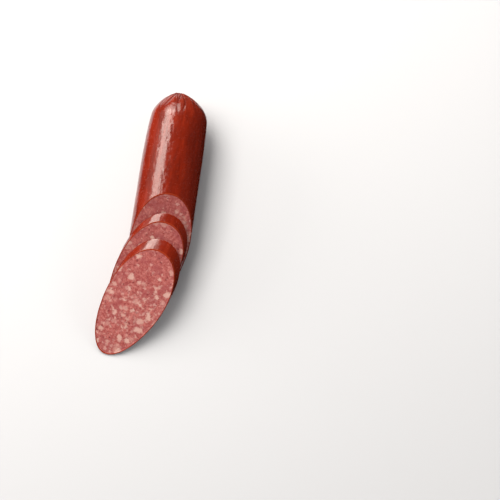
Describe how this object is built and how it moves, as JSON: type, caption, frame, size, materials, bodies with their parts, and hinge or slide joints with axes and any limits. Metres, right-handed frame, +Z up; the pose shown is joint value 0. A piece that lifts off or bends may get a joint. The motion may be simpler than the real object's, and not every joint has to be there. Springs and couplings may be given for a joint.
{
  "type": "cured sausage",
  "caption": "Smoked, cured sausage lying down: a heel with a gathered round end and a long slanting cut, with oval slices leaning back on the cut like shingles.",
  "frame": {"origin": "bottom centre of the bounding box, on the surface the sausage lies on", "axes": "+Y along the heel towards its gathered round end, +Z up, slices at -Y"},
  "size_m": [0.0608, 0.1976, 0.0433],
  "materials": {
    "casing": "taut, thin, smoked red-brown casing with a moist shine and fine wrinkles",
    "filling": "moist cut meat, dull pink-red, flecked with pale fat"
  },
  "bodies": {
    "root": {"heel_casing": "casing", "heel_filling": "filling", "first_slice_casing": "casing", "first_slice_filling": "filling", "last_slice_casing": "casing", "last_slice_filling": "filling"}
  },
  "joints": []
}
